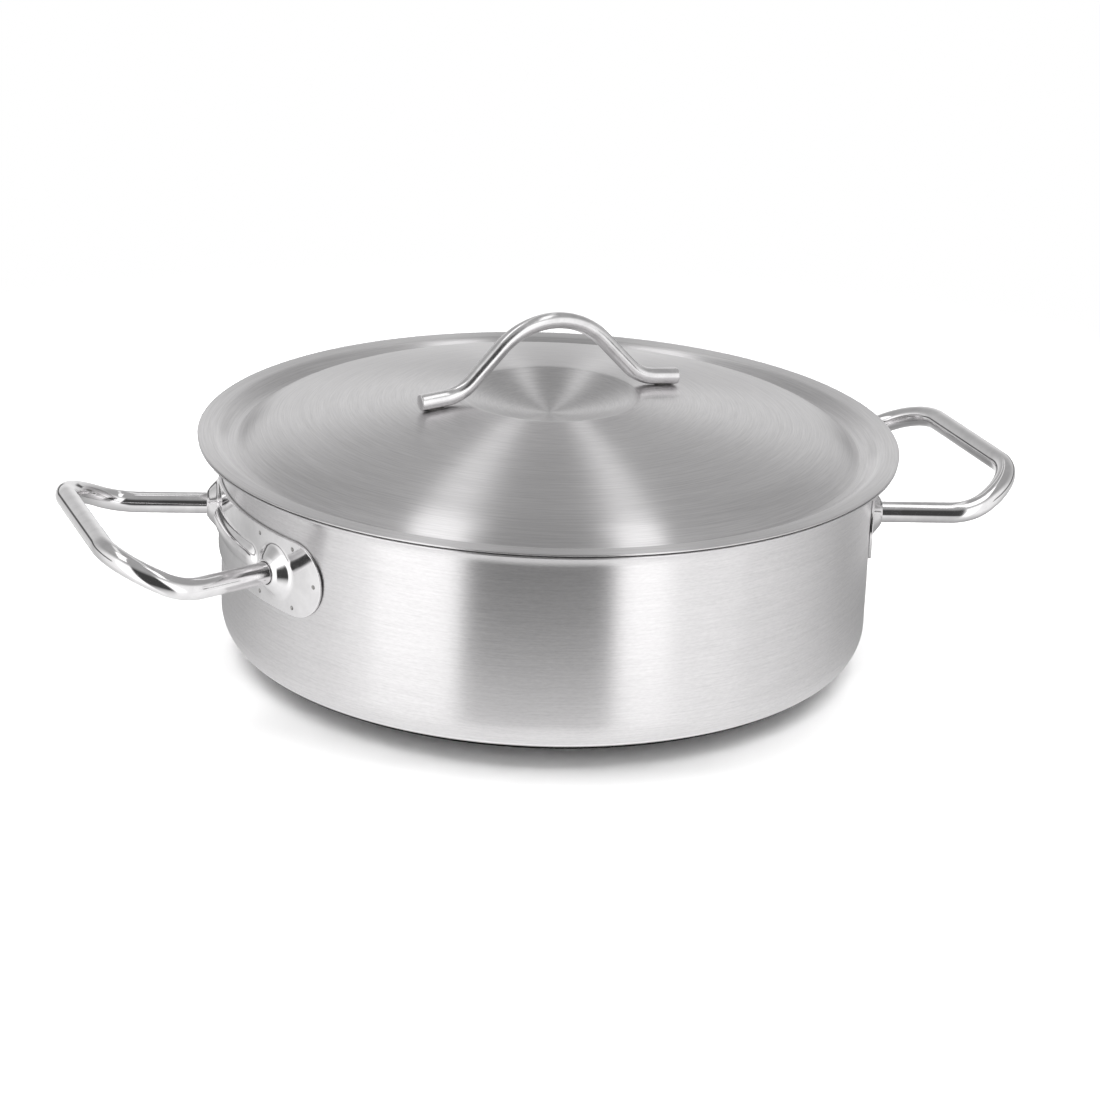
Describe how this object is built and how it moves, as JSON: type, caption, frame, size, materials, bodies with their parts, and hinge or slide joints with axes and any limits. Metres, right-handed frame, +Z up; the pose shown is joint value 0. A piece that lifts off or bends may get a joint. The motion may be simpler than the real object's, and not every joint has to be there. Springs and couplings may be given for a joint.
{
  "type": "cooking pot",
  "caption": "Low round stainless steel casserole with a flared rim, sandwich base, tube loop handles welded on pressed plates, and a loose domed lid with a bent rod handle.",
  "frame": {"origin": "on the floor under the middle of the base", "axes": "+X through the right side handle, +Y to the back, +Z up; both side handles lie along X"},
  "size_m": [0.4752, 0.3436, 0.1709],
  "materials": {
    "body_steel": "satin, brushed round the wall",
    "lid_steel": "satin, brushed in rings",
    "base_steel": "satin, spun in rings",
    "plate_steel": "bright polished stainless steel",
    "tube_steel": "bright polished stainless steel",
    "rod_steel": "polished stainless steel",
    "weld_steel": "raw weld metal",
    "spreader_aluminium": "plain sheet"
  },
  "bodies": {
    "pot": {"pot_body": "body_steel", "heat_spreader": "spreader_aluminium", "base_cap": "base_steel", "right_handle_plate": "plate_steel", "right_handle_tube": "tube_steel", "left_handle_plate": "plate_steel", "left_handle_tube": "tube_steel", "right_tube_weld_front": "weld_steel", "right_tube_weld_back": "weld_steel", "left_tube_weld_front": "weld_steel", "left_tube_weld_back": "weld_steel", "right_spot_weld_01": "weld_steel", "right_spot_weld_02": "weld_steel", "right_spot_weld_03": "weld_steel", "right_spot_weld_04": "weld_steel", "right_spot_weld_05": "weld_steel", "right_spot_weld_06": "weld_steel", "right_spot_weld_07": "weld_steel", "right_spot_weld_08": "weld_steel", "right_spot_weld_09": "weld_steel", "right_spot_weld_10": "weld_steel", "left_spot_weld_01": "weld_steel", "left_spot_weld_02": "weld_steel", "left_spot_weld_03": "weld_steel", "left_spot_weld_04": "weld_steel", "left_spot_weld_05": "weld_steel", "left_spot_weld_06": "weld_steel", "left_spot_weld_07": "weld_steel", "left_spot_weld_08": "weld_steel", "left_spot_weld_09": "weld_steel", "left_spot_weld_10": "weld_steel"},
    "lid": {"lid_shell": "lid_steel", "lid_handle": "rod_steel", "lid_weld_left": "weld_steel", "lid_weld_right": "weld_steel"}
  },
  "joints": [
    {"name": "lid_lift", "type": "slide", "parent": "pot", "child": "lid", "axis": [0, 0, 1], "range_m": [0, 0.2]}
  ]
}
